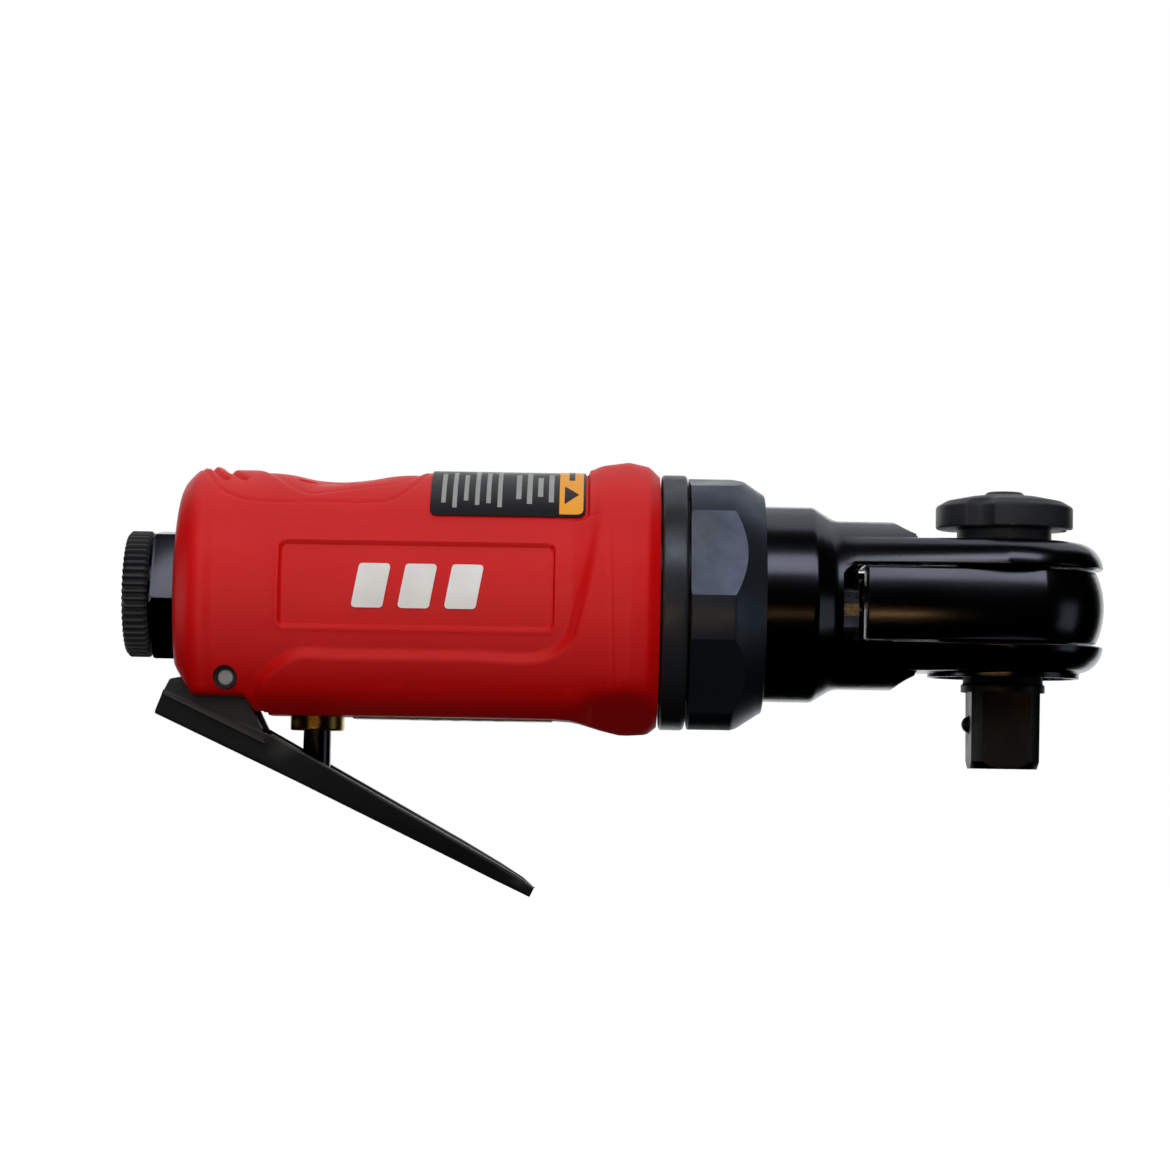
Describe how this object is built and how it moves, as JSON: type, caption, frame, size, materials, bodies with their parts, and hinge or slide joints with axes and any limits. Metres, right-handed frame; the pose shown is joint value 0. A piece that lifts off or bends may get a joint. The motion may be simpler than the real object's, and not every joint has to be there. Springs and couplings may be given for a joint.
{
  "type": "air ratchet",
  "caption": "Palm-size pneumatic ratchet wrench: red grip with vane motor and planetary gear, swinging yoke in an open head, square drive below.",
  "frame": {"origin": "centre of the square drive's end face", "axes": "+X from the air inlet towards the ratchet head, +Z opposite to the way the square drive points, towards the reverse knob"},
  "size_m": [0.1377, 0.0394, 0.0615],
  "materials": {
    "red_composite": "satin moulded red composite with a fine grain",
    "black_steel": "black oxide on machined steel, oiled, satin gloss",
    "bright_steel": "ground bearing steel",
    "spring_steel": "drawn spring wire",
    "cast_iron": "machined iron",
    "aluminium": "satin",
    "brass": "machined brass",
    "bronze": "bronze washer",
    "rubber": "nitrile rubber",
    "felt": "pressed felt",
    "resin": "laminated phenolic",
    "label": "printed film, plain blocks and no lettering"
  },
  "bodies": {
    "housing": {"grip_housing": "red_composite", "threaded_collar": "black_steel", "coupling_nut": "black_steel", "ratchet_head": "black_steel", "inlet_bushing": "black_steel", "inlet_screen": "bright_steel", "inlet_seal": "rubber", "valve_bushing": "brass", "stem_seal": "rubber", "lever_pin": "bright_steel", "rear_end_plate": "cast_iron", "rear_bearing": "bright_steel", "motor_cylinder": "cast_iron", "front_end_plate": "cast_iron", "front_bearing": "bright_steel", "motor_pin": "bright_steel", "ring_gear": "black_steel", "crank_bearing": "bright_steel", "thrust_washer": "bronze", "retaining_ring": "spring_steel", "safety_label": "label", "underside_plate": "aluminium", "exhaust_felt": "felt"},
    "lever": {"throttle_lever": "black_steel"},
    "stem": {"valve_stem": "black_steel", "valve_poppet": "rubber", "valve_spring": "spring_steel"},
    "regulator": {"regulator_ring": "black_steel"},
    "rotor": {"rotor": "bright_steel", "drive_pinion": "bright_steel", "vane_1": "resin", "vane_2": "resin", "vane_3": "resin", "vane_4": "resin", "vane_5": "resin"},
    "crank": {"crankshaft": "bright_steel", "planet_pin_1": "bright_steel", "planet_pin_2": "bright_steel", "planet_pin_3": "bright_steel"},
    "planet_1": {"planet_gear_1": "bright_steel"},
    "planet_2": {"planet_gear_2": "bright_steel"},
    "planet_3": {"planet_gear_3": "bright_steel"},
    "roller": {"drive_bushing": "bright_steel"},
    "yoke": {"ratchet_yoke": "black_steel"},
    "anvil": {"anvil": "black_steel", "pawl_pin": "bright_steel", "socket_ball_spring": "spring_steel"},
    "socket_ball": {"socket_ball": "black_steel"},
    "knob": {"reverse_knob": "black_steel", "knob_detent_ball": "bright_steel", "knob_detent_spring": "spring_steel"},
    "pawl": {"drive_pawl": "bright_steel"}
  },
  "joints": [
    {"name": "lever_press", "type": "hinge", "parent": "housing", "child": "lever", "pos_m": [-0.1084, 0, 0.0108], "axis": [0, -1, 0], "range_deg": [0, 10], "stiffness_Nm_per_rad": 0.35, "springref_deg": -20.05},
    {"name": "stem_lift", "type": "slide", "parent": "housing", "child": "stem", "axis": [0, 0, 1], "range_m": [0, 0.0029], "deforming": ["valve_spring"]},
    {"name": "regulator_turn", "type": "hinge", "parent": "housing", "child": "regulator", "pos_m": [-0.1218, 0, 0.0227], "axis": [1, 0, 0], "range_deg": [0, 90]},
    {"name": "rotor_spin", "type": "hinge", "parent": "housing", "child": "rotor", "pos_m": [-0.0768, 0, 0.0227], "axis": [1, 0, 0], "continuous": true},
    {"name": "crank_spin", "type": "hinge", "parent": "housing", "child": "crank", "pos_m": [-0.0325, 0, 0.0227], "axis": [1, 0, 0], "continuous": true},
    {"name": "planet_1_spin", "type": "hinge", "parent": "crank", "child": "planet_1", "pos_m": [-0.055, 0, 0.0155], "axis": [1, 0, 0], "continuous": true},
    {"name": "planet_2_spin", "type": "hinge", "parent": "crank", "child": "planet_2", "pos_m": [-0.055, 0.00624, 0.0263], "axis": [1, 0, 0], "continuous": true},
    {"name": "planet_3_spin", "type": "hinge", "parent": "crank", "child": "planet_3", "pos_m": [-0.055, -0.00624, 0.0263], "axis": [1, 0, 0], "continuous": true},
    {"name": "roller_spin", "type": "hinge", "parent": "crank", "child": "roller", "pos_m": [-0.0185, 0, 0.0243], "axis": [1, 0, 0], "continuous": true},
    {"name": "yoke_swing", "type": "hinge", "parent": "housing", "child": "yoke", "pos_m": [0, 0, 0.0227], "axis": [0, 0, 1], "range_deg": [-5, 5]},
    {"name": "anvil_spin", "type": "hinge", "parent": "housing", "child": "anvil", "pos_m": [0, 0, 0.0227], "axis": [0, 0, 1], "continuous": true},
    {"name": "socket_ball_push", "type": "slide", "parent": "anvil", "child": "socket_ball", "axis": [1, 0, 0], "range_m": [0, 0.0009], "stiffness_N_per_m": 800, "springref_m": -0.001},
    {"name": "knob_turn", "type": "hinge", "parent": "anvil", "child": "knob", "pos_m": [0, 0, 0.0367], "axis": [0, 0, 1], "range_deg": [-50, 0]},
    {"name": "pawl_tilt", "type": "hinge", "parent": "anvil", "child": "pawl", "pos_m": [0.0062, 0, 0.0227], "axis": [0, 0, 1], "range_deg": [0, 8]}
  ],
  "couplings": [
    {"joint": "stem_lift", "follows": "lever_press", "m_per_rad": 0.0162},
    {"joint": "crank_spin", "follows": "rotor_spin", "ratio": 0.25},
    {"joint": "planet_1_spin", "follows": "rotor_spin", "ratio": -0.75},
    {"joint": "planet_2_spin", "follows": "rotor_spin", "ratio": -0.75},
    {"joint": "planet_3_spin", "follows": "rotor_spin", "ratio": -0.75},
    {"joint": "roller_spin", "follows": "rotor_spin", "ratio": -0.25},
    {"joint": "pawl_tilt", "follows": "knob_turn", "ratio": -0.16}
  ]
}
